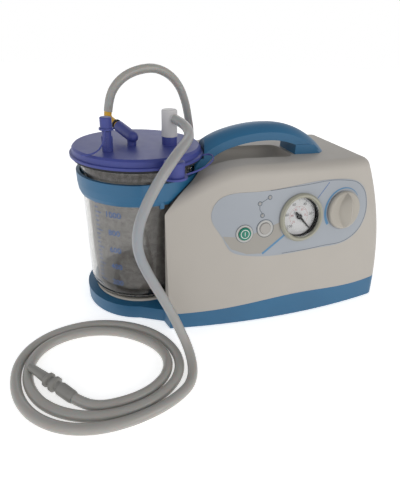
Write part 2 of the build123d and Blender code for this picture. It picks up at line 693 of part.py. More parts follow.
def inlet_window():
    return back_frame(*SOCKET_AT) * Box(30.4, 34.4, 20)


def mains_inlet():
    """Appliance socket with three flat pins and a bay for the fuse drawer."""
    frame = back_frame(*SOCKET_AT)
    body = frame * Pos(0, 0, -9) * Box(30, 34, 20)
    body -= frame * Pos(0, 5, -5) * Box(24.5, 16.5, 20)
    body -= frame * Pos(0, -11, -5) * Box(24.4, 8.4, 20)
    for x, y in ((-7, 3), (0, 8), (7, 3)):
        body += frame * Pos(x, y, -7.6) * Box(2, 4, 15)
    return body


def fuse_drawer():
    frame = back_frame(*SOCKET_AT)
    tray = frame * Pos(0, -11, -6.9) * Box(23.8, 7.8, 15.6)
    tray -= frame * Pos(0, -11, -8) * Box(18, 9, 8)
    return tray


def exhaust_grille():
    """Louvred plate inside the vent slots."""
    frame = back_frame(*GRILLE_AT)
    plate = frame * Pos(0, 0, -4.2) * Box(66, 46, 1.6)
    for k in range(9):
        plate -= frame * Pos(-28 + 7 * k, 0, -4.2) * Box(3, 36, 6)
    return plate


def cover_screws():
    """Four screws up through the base into the cover's rim."""
    return Compound(children=[rod(x, y, BASE_Z + 0.2, PAD_TOP_Z - 4, 1.5) for x, y in COVER_SCREWS_AT])


NODES = {
    "base_tray": base_tray,
    "base_feet": base_feet,
    "jar_seat": jar_seat,
    "casing_cover": casing_cover,
    "carry_handle": carry_handle,
    "bay_seal": bay_seal,
    "control_label": control_label,
    "gauge_case": gauge_case,
    "gauge_dial": gauge_dial,
    "gauge_lens": gauge_lens,
    "gauge_movement": gauge_movement,
    "gauge_pointer": gauge_pointer,
    "suction_knob": suction_knob,
    "regulator_valve": regulator_valve,
    "power_button": lambda: push_button(POWER_AT, POWER_R, 2.6),
    "power_bezel": lambda: button_bezel(POWER_AT, POWER_R),
    "grey_button": lambda: push_button(GREY_AT, GREY_R, 2.2),
    "grey_bezel": lambda: button_bezel(GREY_AT, GREY_R),
    "status_lamps": lamps,
    "control_board": control_board,
    "collection_jar": jar,
    "liner_bag": liner_bag,
    "jar_lid": lid,
    "lid_gasket": lid_gasket,
    "port_cap": port_cap,
    "port_cap_strap": rim_strap,
    "elbow_ring": elbow_ring,
    "vacuum_elbow": vacuum_elbow,
    "patient_elbow": patient_elbow,
    "hanging_cap": hanging_cap,
    "hanging_strap": hanging_strap,
    "vacuum_hose": lambda: cord_tube("vacuum_hose", VACUUM_ROUTE, HOSE_D),
    "patient_hose": lambda: cord_tube("patient_hose", PATIENT_ROUTE, HOSE_D),
    "patient_fitting": patient_fitting,
    "vacuum_inlet": vacuum_inlet,
    "inlet_tube": inlet_tube,
    "motor_can": motor_can,
    "motor_bearings": motor_bearings,
    "motor_stator": motor_stator,
    "motor_rotor": motor_rotor,
    "cooling_fan": cooling_fan,
    "crankcase": crankcase,
    "pump_cylinder": pump_cylinder,
    "pump_piston": pump_piston,
    "pump_head": pump_head,
    "rubber_mounts": rubber_mounts,
    "mount_screws": mount_screws,
    "exhaust_silencer": exhaust_silencer,
    "exhaust_grille": exhaust_grille,
    "mains_inlet": mains_inlet,
    "fuse_drawer": fuse_drawer,
    "cover_screws": cover_screws,
}

os.makedirs("parts", exist_ok=True)
for name, make in NODES.items():
    export_step(make(), "parts/" + name + ".step")
    print("wrote", name)
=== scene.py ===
# %% [markdown]
# A portable suction pump, as used on a ward: a moulded casing with its gauge and knob, a clear
# collecting jar in a teal ring, a violet lid with three ports and two silicone hoses.
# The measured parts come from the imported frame. This script gives them their finishes, adds the
# printed and soft details, and lights the whole on a pale floor.

# %% Load the frame
import bpy
import bmesh
from math import asin, cos, pi, radians, sin
from mathutils import Matrix, Vector, noise


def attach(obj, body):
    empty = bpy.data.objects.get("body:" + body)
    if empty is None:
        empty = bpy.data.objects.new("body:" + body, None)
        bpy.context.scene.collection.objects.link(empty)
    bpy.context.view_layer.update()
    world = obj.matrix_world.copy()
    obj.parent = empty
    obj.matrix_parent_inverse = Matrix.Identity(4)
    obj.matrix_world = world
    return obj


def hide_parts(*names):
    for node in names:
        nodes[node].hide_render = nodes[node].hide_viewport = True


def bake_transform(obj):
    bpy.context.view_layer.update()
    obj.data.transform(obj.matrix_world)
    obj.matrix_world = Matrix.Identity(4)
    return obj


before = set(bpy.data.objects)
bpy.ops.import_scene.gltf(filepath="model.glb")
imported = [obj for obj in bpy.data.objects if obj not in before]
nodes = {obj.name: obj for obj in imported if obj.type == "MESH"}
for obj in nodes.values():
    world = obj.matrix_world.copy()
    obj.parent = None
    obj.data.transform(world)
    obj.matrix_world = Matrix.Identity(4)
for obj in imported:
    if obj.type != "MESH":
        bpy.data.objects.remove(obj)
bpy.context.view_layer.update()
MM = 0.001

# %% [markdown]
# The camera stands in front and to the left, above the pump, and looks down at it with a slight
# lean. Its axes are built from three angles and written straight into its matrix.

# %% Camera
YAW, PITCH, ROLL = 0.2908, 0.5071, 0.0402
EYE = Vector((-155.2, -403.2, 280.7)) * MM
forward = Vector((sin(YAW) * cos(PITCH), cos(YAW) * cos(PITCH), -sin(PITCH)))
level = Vector((cos(YAW), -sin(YAW), 0))
upward = level.cross(forward)
across = cos(ROLL) * level + sin(ROLL) * upward
upright = -sin(ROLL) * level + cos(ROLL) * upward
lens = bpy.data.cameras.new("camera")
lens.sensor_fit = "VERTICAL"
lens.sensor_height = 36.0
lens.lens = 27.72
lens.clip_start = 0.01
camera = bpy.data.objects.new("camera", lens)
bpy.context.scene.collection.objects.link(camera)
turn = Matrix((across, upright, -forward)).transposed()
camera.matrix_world = Matrix.Translation(EYE) @ turn.to_4x4()
bpy.context.scene.camera = camera
print("camera at", [round(c, 3) for c in EYE])

# %% [markdown]
# Every finish is a small node tree. One helper turns the familiar hex colours into the linear
# values that the renderer works in, one adds a node with its settings and links, and one starts
# a finish on the Principled shader.

# %% Colour and node helpers
def linear(hex_text):
    """sRGB hex to linear red, green, blue, alpha."""
    parts = [int(hex_text[i:i + 2], 16) / 255 for i in (0, 2, 4)]
    return tuple(p / 12.92 if p <= 0.04045 else ((p + 0.055) / 1.055) ** 2.4 for p in parts) + (1.0,)


def add(finish, kind, inputs=None, **settings):
    """A node with its settings; an input takes a value or another node's output."""
    tree = finish.node_tree
    node = tree.nodes.new(kind)
    for name, value in settings.items():
        setattr(node, name, value)
    for name, value in (inputs or {}).items():
        if isinstance(value, bpy.types.NodeSocket):
            tree.links.new(value, node.inputs[name])
        else:
            node.inputs[name].default_value = value
    return node


def link(finish, output, shader_input):
    finish.node_tree.links.new(output, shader(finish).inputs[shader_input])


def shader(finish):
    return finish.node_tree.nodes["Principled BSDF"]


def start_finish(name, colour, roughness, ior, **sockets):
    """A Principled finish; extra sockets are named with underscores for spaces."""
    finish = bpy.data.materials.new(name)
    finish.use_nodes = True
    base = shader(finish).inputs
    base["Base Color"].default_value = linear(colour)
    base["Roughness"].default_value = roughness
    base["IOR"].default_value = ior
    for key, value in sockets.items():
        base[key.replace("_", " ")].default_value = value
    return finish


# %% [markdown]
# Moulded plastic is never one flat colour: a fine spark-eroded grain breaks up its gloss, and the
# colour drifts a little over the width of a hand. Noise on Object coordinates gives both, at a
# scale worked out from millimetres.

# %% Moulded grain
def noise_at(finish, size_mm, detail=2.0):
    """Noise whose blobs are about size_mm across."""
    place = add(finish, "ShaderNodeTexCoord").outputs["Object"]
    return add(finish, "ShaderNodeTexNoise",
               {"Vector": place, "Scale": 1 / (size_mm * MM), "Detail": detail})


def drift(finish, light, dark, size_mm, low=0.35, high=0.65):
    """Slow change between two colours, with blobs about size_mm across."""
    blobs = noise_at(finish, size_mm)
    ramp = add(finish, "ShaderNodeValToRGB", {"Fac": blobs.outputs["Fac"]})
    ramp.color_ramp.elements[0].position = low
    ramp.color_ramp.elements[1].position = high
    ramp.color_ramp.elements[0].color = linear(dark)
    ramp.color_ramp.elements[1].color = linear(light)
    link(finish, ramp.outputs["Color"], "Base Color")
    return ramp


def uneven_gloss(finish, low, high, size_mm):
    """Roughness that wanders between two values, as on handled plastic."""
    blobs = noise_at(finish, size_mm, 4.0)
    span = add(finish, "ShaderNodeMapRange", {"Value": blobs.outputs["Fac"], "To Min": low, "To Max": high})
    link(finish, span.outputs["Result"], "Roughness")


def grain(finish, size_mm, depth_mm, strength=1.0):
    """Fine bump of the mould's surface."""
    fine = noise_at(finish, size_mm)
    bump = add(finish, "ShaderNodeBump", {"Height": fine.outputs["Fac"], "Distance": depth_mm * MM,
                                          "Strength": strength})
    link(finish, bump.outputs["Normal"], "Normal")


HAND_MM = 90
FINGER_MM = 12


def moulded(name, light, dark, roughness, grain_mm=0.7, depth_mm=0.03, ior=1.53, **sockets):
    """Moulded plastic: colour drifts over a hand's width, and gloss over a finger's."""
    finish = start_finish(name, light, roughness, ior, **sockets)
    drift(finish, light, dark, HAND_MM)
    uneven_gloss(finish, roughness - 0.06, roughness + 0.06, FINGER_MM)
    grain(finish, grain_mm, depth_mm)
    return finish


# %% [markdown]
# The hoses are milky silicone tube: light passes a little way in and spreads, so the colour is
# soft, the edges glow and the gloss is gentle. Subsurface scattering over a few millimetres
# does this. Painted light is ramped into the colour by height: lighter and warmer low down, where
# the floor lights the lengths over it, and a bluish painted reflection at mid height.

# %% Silicone
silicone = start_finish("silicone milky moulded", "94928D", 0.34, 1.41, Subsurface_Weight=0.3,
                        Subsurface_Scale=0.004, Coat_Weight=0.3, Coat_Roughness=0.22)
# Painted light by height: lighter and warmer near the floor, a bluish painted reflection at about 110 mm,
# plainer higher up.
silicone_height = add(silicone, "ShaderNodeSeparateXYZ",
                      {"Vector": add(silicone, "ShaderNodeTexCoord").outputs["Object"]})
silicone_rise = add(silicone, "ShaderNodeMapRange",
                    {"Value": silicone_height.outputs["Z"], "From Max": 0.25})
silicone_painted_light_ramp = add(silicone, "ShaderNodeValToRGB", {"Fac": silicone_rise.outputs["Result"]})
silicone_painted_light_ramp.color_ramp.elements[0].color = linear("A4A19B")
silicone_painted_light_ramp.color_ramp.elements[1].color = linear("9A9791")
silicone_painted_light_ramp.color_ramp.elements.new(0.45).color = linear("8E9297")
link(silicone, silicone_painted_light_ramp.outputs["Color"], "Base Color")
uneven_gloss(silicone, 0.26, 0.40, 9)

# %% [markdown]
# Each hose has a fixed length and follows one smooth line. A NURBS spline of order 3 through the
# same corners as the measured tube gives that line, and a round bevel gives it its thickness.

# %% Hoses
HOSE_D = 9.4
VACUUM_ROUTE = [(-131.6, 41.3, 206.4), (-129.4, 41.8, 219.5), (-122.5, 43.5, 232),
    (-110.5, 46.3, 241.8), (-95, 50, 247.5), (-77, 54.3, 249), (-60.5, 58, 242.3), (-48.3, 60.9, 229.5),
    (-41, 62.5, 212.5), (-37, 63.5, 194.5), (-34, 64, 178.5), (-34, 64, 167.6)]
PATIENT_ROUTE = [(-70.2, -14.5, 207.7), (-65.5, -26.5, 206.2), (-62.6, -40.5, 202.6), (-65.6, -55, 198),
    (-75.5, -70, 194), (-88.5, -87, 187), (-102, -96.5, 172.5), (-114.5, -101, 153),
    (-123, -104.5, 131.5), (-123, -106, 110.5), (-114.5, -108, 88), (-102.5, -111, 63.5),
    (-93.5, -115, 44), (-86.5, -120.5, 26.5), (-82.8, -126.7, 17.5), (-80.9, -135.3, 10.9),
    (-81, -146.5, 6.3), (-84, -158, 4.7), (-90, -168, 4.7), (-99.5, -175.5, 4.7),
    (-112.5, -182.5, 4.7), (-127.5, -187.8, 4.7), (-144, -191.5, 4.7), (-164, -193, 4.7),
    (-183, -190.5, 4.7), (-200, -184.5, 4.7), (-215, -174.5, 4.7), (-227, -161.5, 4.7),
    (-236, -144.5, 4.7), (-240.5, -124, 4.7), (-239.5, -103.5, 4.7), (-231.5, -86.5, 4.7),
    (-218, -74, 4.7), (-201, -66, 4.7), (-177, -62, 4.7), (-152, -66, 4.7), (-129, -76, 4.7),
    (-109.5, -91, 4.7), (-96.5, -110.5, 4.7), (-91, -131, 4.7), (-94, -149, 4.7), (-104, -163.5, 4.7),
    (-119.5, -174, 4.7), (-138, -180.5, 4.7), (-157.5, -182.5, 4.7), (-176, -180.5, 4.7),
    (-194, -173.5, 4.7), (-209.5, -163, 4.7), (-221.5, -149, 4.7), (-229.5, -130, 4.7),
    (-230, -109.5, 4.7), (-223.5, -93, 4.7), (-212, -82, 4.7), (-197, -75.5, 4.7), (-180, -73.2, 4.7),
    (-162, -75, 4.7), (-142.5, -81.5, 4.7), (-123, -94.5, 4.7), (-107.5, -112, 4.7),
    (-101.5, -131, 4.7), (-106, -148.5, 4.7), (-118.5, -161.5, 4.7), (-135, -169, 4.7),
    (-152.8, -171.8, 4.7), (-167.8, -171.5, 4.8), (-179.9, -166.9, 5.3), (-189, -159, 6.3)]


def hose(name, route_mm, diameter_mm, finish):
    """A round hose along a smooth line, as a curve."""
    curve = bpy.data.curves.new(name, "CURVE")
    curve.dimensions = "3D"
    curve.bevel_depth = diameter_mm / 2 * MM
    curve.bevel_resolution = 7
    curve.resolution_u = 8
    curve.use_fill_caps = True
    spline = curve.splines.new("NURBS")
    spline.points.add(len(route_mm) - 1)
    for point, corner in zip(spline.points, route_mm):
        point.co = (*(Vector(corner) * MM), 1.0)
    spline.order_u = 3
    spline.use_endpoint_u = True
    curve.materials.append(finish)
    piece = bpy.data.objects.new(name, curve)
    bpy.context.scene.collection.objects.link(piece)
    return piece


vacuum_hose = hose("vacuum_hose_tube", VACUUM_ROUTE, HOSE_D, silicone)
patient_hose = hose("patient_hose_tube", PATIENT_ROUTE, HOSE_D, silicone)
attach(vacuum_hose, "lid")
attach(patient_hose, "lid")
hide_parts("vacuum_hose")
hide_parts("patient_hose")

# %% [markdown]
# Finishes of the mouldings. The casing is warm grey-cream ABS with a fine grain, and the base, ring
# and handle are teal ABS. The lid and its caps are polyethylene, which is waxy, so a little light
# sinks in. Polypropylene fittings are glossier. The label is a polycarbonate film with a higher IOR,
# the dial and pointer are enamel, and rubber is the only one with almost no gloss. The grain is drawn
# at 0.5 to 1.2 mm, coarser than a real mould's, so that it still shows.

# %% Moulded finishes
cream_abs = moulded("ABS cream grained", "ADA79F", "AAA49C", 0.52)
seat_abs = moulded("ABS cream seat", "B9B4AB", "B3AEA5", 0.42)
teal_abs = moulded("ABS teal grained", "1D5E84", "1B597E", 0.42)
violet_pe = moulded("polyethylene violet moulded", "363F86", "323B7F", 0.46, 1.2, 0.03, 1.51,
                    Subsurface_Weight=0.05, Subsurface_Scale=0.003)
yellow_pp = moulded("polypropylene yellow moulded", "C79A22", "BE911D", 0.34, 1.0, 0.02, 1.49)
white_pp = moulded("polypropylene white moulded", "BFBDBD", "BAB8B8", 0.34, 1.0, 0.02, 1.49)
grey_pp = moulded("polypropylene grey moulded", "8D8B87", "878580", 0.34, 0.9, 0.02, 1.49)
bezel_abs = moulded("ABS olive cream bezel", "9C9A8B", "979586", 0.38, 0.6, 0.02)
ring_abs = moulded("ABS pale key ring", "B2B1AE", "ADACA9", 0.40, 0.6, 0.02)
knob_abs = moulded("ABS knob cream", "A8A298", "A39D93", 0.36, 0.6, 0.02)
grey_key = moulded("ABS grey key", "A19D98", "9B9792", 0.45, 0.5, 0.02)
green_key = moulded("ABS green key gloss", "147A62", "12725B", 0.22, 0.5, 0.01)
black_abs = moulded("ABS black grained", "1C1C1D", "161617", 0.50)
black_rubber = moulded("rubber black matt", "17171A", "101013", 0.72, 0.9, 0.05, 1.52)
label_film = moulded("polycarbonate label film", "979CA3", "93989F", 0.34, 0.5, 0.012, 1.58)
dial_enamel = moulded("enamel white dial", "D6D6D6", "D1D1D1", 0.35, 0.5, 0.008, 1.50)
dial_black = moulded("enamel black pointer", "131314", "0E0E0F", 0.40, 0.5, 0.008, 1.50)
board_green = moulded("solder mask green", "1D5B33", "174C2A", 0.30, 0.6, 0.02, 1.50)
print("moulded finishes made, down to", board_green.name)

# %% [markdown]
# Metal parts sit inside: zinc-plated steel with streaks from rolling, cast aluminium with a
# coarser skin, and turned brass. A metal keeps the default IOR; its colour is its reflection.

# %% Metal finishes
def metal(name, colour, roughness, grain_mm, depth_mm):
    """Bare metal whose gloss changes every few millimetres."""
    finish = start_finish(name, colour, roughness, 1.5, Metallic=1.0)
    uneven_gloss(finish, roughness - 0.08, roughness + 0.1, 6)
    grain(finish, grain_mm, depth_mm)
    return finish


zinc_steel = metal("steel zinc plated", "B9BABB", 0.34, 1.5, 0.01)
cast_aluminium = metal("aluminium die cast", "B4B6B8", 0.46, 1.2, 0.05)
turned_brass = metal("brass turned", "C9A34E", 0.30, 1.0, 0.01)

# %% [markdown]
# The jar is clear polycarbonate: almost colourless, so it shows mostly by its edges and
# reflections. The gauge glass is clear acrylic. Both have an IOR set below the real 1.58 and 1.49,
# so that reflections don't hide what is behind them. Inside the jar hangs a disposable liner of thin,
# hazy film, whose creases catch the light. The film is denser above the ring, where it is gathered,
# so its alpha rises there with height.

# %% Clear finishes
clear_jar = start_finish("polycarbonate clear moulded", "DEDDDB", 0.05, 1.35, Transmission_Weight=1.0)
grain(clear_jar, 18, 0.12, 0.4)
clear_lens = start_finish("acrylic clear", "FFFFFF", 0.02, 1.12, Transmission_Weight=1.0)
liner_film = start_finish("liner film hazy", "B9B5B0", 0.38, 1.20)
drift(liner_film, "BBB7B3", "9C9894", 5, 0.3, 0.7)
grain(liner_film, 2.4, 0.3, 0.5)
film_height = add(liner_film, "ShaderNodeSeparateXYZ",
                  {"Vector": add(liner_film, "ShaderNodeTexCoord").outputs["Object"]})
film_alpha = add(liner_film, "ShaderNodeMapRange", {"Value": film_height.outputs["Z"], "From Min": 0.148,
                                                    "From Max": 0.158, "To Min": 0.58, "To Max": 0.92})
link(liner_film, film_alpha.outputs["Result"], "Alpha")

# %% [markdown]
# Screen-printed ink lies as a thin matt coat on the label, the dial and the jar. Its gloss changes
# every few millimetres, where the coat is thicker or thinner.

# %% Inks
print_blue = start_finish("ink blue screen printed", "2F5B97", 0.5, 1.5)
print_dark = start_finish("ink dark grey screen printed", "4C545C", 0.5, 1.5)
print_pale = start_finish("ink pale blue screen printed", "4F7EA3", 0.5, 1.5)
print_beige = start_finish("ink beige grey screen printed", "96928B", 0.4, 1.5)
print_white = start_finish("ink white screen printed", "DADBDB", 0.5, 1.5)
print_black = start_finish("ink black screen printed", "141416", 0.5, 1.5)
print_red = start_finish("ink red screen printed", "A83A3E", 0.5, 1.5)
for ink in (print_blue, print_dark, print_pale, print_beige, print_white, print_black, print_red):
    uneven_gloss(ink, 0.42, 0.56, 3)

# %% [markdown]
# The measured parts keep their shapes, and take these finishes in their material slots.

# %% Finishes on the measured parts
wearing = {
    cream_abs: ["casing_cover"],
    seat_abs: ["jar_seat"],
    teal_abs: ["base_tray", "carry_handle"],
    violet_pe: ["jar_lid", "port_cap", "hanging_cap"],
    yellow_pp: ["vacuum_elbow"],
    white_pp: ["patient_elbow", "vacuum_inlet"],
    grey_pp: ["patient_fitting"],
    bezel_abs: ["gauge_case"],
    ring_abs: ["power_bezel", "grey_bezel"],
    grey_key: ["grey_button", "status_lamps"],
    green_key: ["power_button"],
    black_abs: ["mains_inlet", "fuse_drawer", "exhaust_grille", "exhaust_silencer", "cooling_fan"],
    black_rubber: ["base_feet", "bay_seal", "lid_gasket", "elbow_ring", "rubber_mounts"],
    label_film: ["control_label"],
    dial_enamel: ["gauge_dial"],
    dial_black: ["gauge_pointer"],
    board_green: ["control_board"],
    zinc_steel: ["motor_can", "motor_stator", "motor_rotor", "mount_screws", "cover_screws"],
    cast_aluminium: ["crankcase", "pump_cylinder", "pump_piston", "pump_head"],
    turned_brass: ["gauge_movement", "regulator_valve", "motor_bearings"],
    clear_jar: ["collection_jar"],
    clear_lens: ["gauge_lens"],
    silicone: ["inlet_tube"],
}
for finish, names in wearing.items():
    for name in names:
        mesh = nodes[name].data
        mesh.materials.clear()
        mesh.materials.append(finish)
worn = {name for names in wearing.values() for name in names}
print("nodes without a finish", sorted(set(nodes) - worn))

# %% [markdown]
# Printed and small parts sit on the bowed, leaning front face. That face is part of a big cylinder,
# so a helper gives the point and the three directions at any place on it, and flat shapes drawn in
# the front view are laid on it by moving each vertex to its own point.

# %% The front face
LEAN = radians(11.5)
BOW_R, BOW_X, BOW_Y = 790.0, 13.0, -91.5
RISE = Vector((0, sin(LEAN), cos(LEAN)))
OUTWARD = Vector((0, -cos(LEAN), sin(LEAN)))
GAUGE_AT, KNOB_AT = (57.7, 113.4), (112.4, 115.6)
POWER_AT, GREY_AT = (-8.0, 101.7), (15.0, 105.6)
LAMPS_AT = [(8.5, 131.8), (19.5, 137.6), (11.6, 119.4)]


def face_frame(x, z):
    """Matrix at a place on the front face: level, rise, outward normal and point, in metres."""
    phi = asin((x - BOW_X) / BOW_R)
    sag = BOW_R * (1 - cos(phi))
    along = (z + sag * sin(LEAN)) / cos(LEAN)
    point = Vector((BOW_X + BOW_R * sin(phi), BOW_Y, 0)) + RISE * along - OUTWARD * sag
    normal = Vector((sin(phi), 0, 0)) + OUTWARD * cos(phi)
    place = Matrix((RISE.cross(normal), RISE, normal)).transposed().to_4x4()
    return Matrix.Translation(point * MM) @ place @ Matrix.Scale(MM, 4)


def keep(name, shape, finish, body):
    """Make a bmesh a piece of the scene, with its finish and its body."""
    mesh = bpy.data.meshes.new(name)
    shape.to_mesh(mesh)
    shape.free()
    mesh.materials.append(finish)
    piece = bpy.data.objects.new(name, mesh)
    bpy.context.scene.collection.objects.link(piece)
    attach(piece, body)
    return piece


def lay_on_face(shape, lift_mm):
    """Cut a flat drawing into narrow strips, then lay each vertex on the bowed face."""
    spread = [v.co.x for v in shape.verts]
    cut = min(spread) + 4
    while cut < max(spread):
        bmesh.ops.bisect_plane(shape, geom=shape.verts[:] + shape.edges[:] + shape.faces[:],
                               plane_co=(cut, 0, 0), plane_no=(1, 0, 0))
        cut += 4
    for v in shape.verts:
        v.co = face_frame(v.co.x, v.co.y) @ Vector((0, 0, lift_mm))


# %% [markdown]
# Flat drawings come in three kinds: an area inside a closed outline, a band of a given width along
# a line, and a ring. Each starts from a curve or a circle, and is made a mesh before it is placed.

# %% Flat drawings
def outline_curve(points, closed, smooth):
    """A flat curve through points in millimetres, smooth or with straight runs."""
    curve = bpy.data.curves.new("drawing", "CURVE")
    curve.dimensions = "2D" if closed else "3D"
    curve.resolution_u = 12
    if closed:
        curve.fill_mode = "BOTH"
    spline = curve.splines.new("BEZIER")
    spline.bezier_points.add(len(points) - 1)
    for knot, point in zip(spline.bezier_points, points):
        knot.co = (*point, 0)
        knot.handle_left_type = knot.handle_right_type = "AUTO" if smooth else "VECTOR"
    spline.use_cyclic_u = closed
    return curve


def flat_mesh(curve):
    """The mesh of a curve or text, as a bmesh in the plane of the drawing."""
    holder = bpy.data.objects.new("drawing", curve)
    bpy.context.scene.collection.objects.link(holder)
    bpy.context.view_layer.update()
    mesh = bpy.data.meshes.new_from_object(holder)
    shape = bmesh.new()
    shape.from_mesh(mesh)
    bpy.data.objects.remove(holder)
    bpy.data.meshes.remove(mesh)
    bpy.data.curves.remove(curve)
    return shape


def area(points):
    return flat_mesh(outline_curve(points, True, False))


def band(points, width_mm, smooth=True, taper=1.0):
    """A band along a line; taper is its width at the far end as a share of that at the start."""
    line = flat_mesh(outline_curve(points, False, smooth))
    line.verts.ensure_lookup_table()
    spots = [v.co.copy() for v in line.verts]
    sides = []
    for i in range(len(spots)):
        along = spots[min(i + 1, len(spots) - 1)] - spots[max(i - 1, 0)]
        sides.append(Vector((-along.y, along.x, 0)).normalized())
    far = bmesh.ops.extrude_edge_only(line, edges=line.edges[:])["geom"]
    near = line.verts[:len(spots)]
    copies = [v for v in far if isinstance(v, bmesh.types.BMVert)]
    for v in copies + near:
        i = min(range(len(spots)), key=lambda k: (spots[k] - v.co).length)
        half = width_mm / 2 * (1 + (taper - 1) * i / (len(spots) - 1))
        v.co = v.co + sides[i] * (half if v in near else -half)
    bmesh.ops.recalc_face_normals(line, faces=line.faces[:])
    if line.faces[0].normal.z < 0:
        bmesh.ops.reverse_faces(line, faces=line.faces[:])
    return line


def ring(inner_mm, outer_mm, place):
    """A flat ring, placed by a matrix."""
    shape = bmesh.new()
    bmesh.ops.create_circle(shape, segments=48, radius=outer_mm)
    inner = bmesh.ops.extrude_edge_only(shape, edges=shape.edges[:])["geom"]
    inner = [v for v in inner if isinstance(v, bmesh.types.BMVert)]
    bmesh.ops.scale(shape, verts=inner, vec=(inner_mm / outer_mm, inner_mm / outer_mm, 1))
    bmesh.ops.recalc_face_normals(shape, faces=shape.faces[:])
    if shape.faces[0].normal.z < 0:
        bmesh.ops.reverse_faces(shape, faces=shape.faces[:])
    bmesh.ops.transform(shape, matrix=place, verts=shape.verts)
    return shape


def number(text, size_mm):
    curve = bpy.data.curves.new("number", "FONT")
    curve.body = text
    curve.size = size_mm
    curve.align_x = curve.align_y = "CENTER"
    curve.resolution_u = 3
    return flat_mesh(curve)


def joined(shapes):
    """One bmesh from several."""
    whole = bmesh.new()
    for shape in shapes:
        mesh = bpy.data.meshes.new("part")
        shape.to_mesh(mesh)
        shape.free()
        whole.from_mesh(mesh)
        bpy.data.meshes.remove(mesh)
    return whole


# %% [markdown]
# The label: a beige field at lower left, a blue slash under the gauge, a thin slash at its upper
# right, and a fine line along the right end. All words and marks are left out. The film stands
# 0.35 mm out of the casing, so the field lies just over it and the lines just over the field.

# %% Label field and lines
FIELD_LIFT, LINE_LIFT = 0.42, 0.5


def label_print(name, drawing, ink, lift_mm=LINE_LIFT):
    """Lay a flat drawing on the label and keep it."""
    lay_on_face(drawing, lift_mm)
    keep(name, drawing, ink, "pump")


FIELD = [(-31.5, 100.5), (-20, 99), (-9.5, 97.4), (1, 100.4), (11.8, 104.2), (32.4, 110.8), (34, 100),
         (36.2, 95.2), (13, 78.6), (-5, 79.4), (-22.5, 86.2), (-29.5, 96)]
EDGE = [(20, 144.3), (55, 146.9), (112, 148.0), (135.8, 140), (146.6, 120), (142.2, 95.6), (125.4, 81.7),
        (85, 77.8), (36, 76.1)]
label_print("label_beige_field", area(FIELD), print_beige, FIELD_LIFT)
label_print("label_blue_slash", band([(12.6, 78.3), (38, 96.2)], 2.2, smooth=False), print_pale)
label_print("label_thin_slash", band([(76.4, 131.2), (91.0, 147.6)], 0.7, smooth=False), print_blue)
label_print("label_edge_line", band(EDGE, 0.45), print_dark)
print("field and lines laid")

# %% [markdown]
# Circles ring the three lamps, and thin lines join them. A tapering arc over the knob shows which
# way the suction grows. The arc's points come from its radius and angles.

# %% Lamp circles and knob arc
LAMP_LINES = [[(8.5, 129.4), (8.6, 125.5), (11.4, 121.8)], [(10.6, 132.9), (17.4, 136.5)]]
ARC_R, ARC_WIDTH = 24.0, 3.2
ARC_TURNS = [radians(a) for a in range(215, 29, -12)]


def on_label(at):
    """Matrix for a flat drawing at a place on the label."""
    return face_frame(*at) @ Matrix.Translation((0, 0, LINE_LIFT))


label_print("lamp_lines", joined([band(line, 0.5) for line in LAMP_LINES]), print_dark)
keep("lamp_circles", joined([ring(1.9, 2.5, on_label(at)) for at in LAMPS_AT]), print_dark,
     "pump")
arc_line = [(KNOB_AT[0] + ARC_R * cos(a), KNOB_AT[1] + ARC_R * sin(a)) for a in ARC_TURNS]
label_print("knob_arc", band(arc_line, ARC_WIDTH, taper=0.15), print_pale)
print("lamp circles", len(LAMPS_AT), "arc points", len(arc_line))

# %% [markdown]
# The gauge: a black sleeve stands between the dial and the glass, and the dial carries a black outer
# scale and a red inner one. The zero is low on the right, where the pointer rests, and both scales
# rise counter-clockwise through three quarters of a turn.

# %% Gauge sleeve
gauge = face_frame(*GAUGE_AT)
DIAL_LIFT = -4.72
SLEEVE_R, SLEEVE_DEPTH, SLEEVE_MIDDLE = 21.15, 5.3, -1.95


def on_dial(turn, radius_mm):
    """Where a mark goes on the dial, at an angle from level."""
    return gauge @ Matrix.Translation((radius_mm * cos(turn), radius_mm * sin(turn), DIAL_LIFT))


sleeve = bmesh.new()
bmesh.ops.create_cone(sleeve, segments=64, radius1=SLEEVE_R, radius2=SLEEVE_R, depth=SLEEVE_DEPTH)
bmesh.ops.translate(sleeve, verts=sleeve.verts, vec=(0, 0, SLEEVE_MIDDLE))
bmesh.ops.reverse_faces(sleeve, faces=sleeve.faces[:])
bmesh.ops.transform(sleeve, matrix=gauge, verts=sleeve.verts)
keep("gauge_sleeve", sleeve, print_black, "pump")
print("sleeve depth", SLEEVE_DEPTH)

# %% [markdown]
# A scale is a row of ticks along an arc, with every fifth one longer, and numbers just inside. Each
# tick is a small grid turned to point at the dial's centre.

# %% Gauge scales and rim
ZERO_TURN, SWEEP = -46, 270


def scale_marks(name, ink, radius_mm, long_mm, width_mm, steps, numbers, size_mm, inward_mm):
    """Ticks along an arc of the dial, with numbers just inside them."""
    marks = []
    for step in range(steps + 1):
        turn = radians(ZERO_TURN + SWEEP * step / steps)
        length = long_mm if step % 5 == 0 else long_mm * 0.55
        tick = bmesh.new()
        bmesh.ops.create_grid(tick, x_segments=1, y_segments=1, size=0.5)
        bmesh.ops.scale(tick, verts=tick.verts, vec=(length, width_mm, 1))
        place = on_dial(turn, radius_mm - length / 2) @ Matrix.Rotation(turn, 4, "Z")
        bmesh.ops.transform(tick, matrix=place, verts=tick.verts)
        marks.append(tick)
    for k, text in enumerate(numbers):
        turn = radians(ZERO_TURN + SWEEP * k / (len(numbers) - 1))
        digits = number(text, size_mm)
        bmesh.ops.transform(digits, matrix=on_dial(turn, radius_mm - inward_mm), verts=digits.verts)
        marks.append(digits)
    keep(name, joined(marks), ink, "pump")


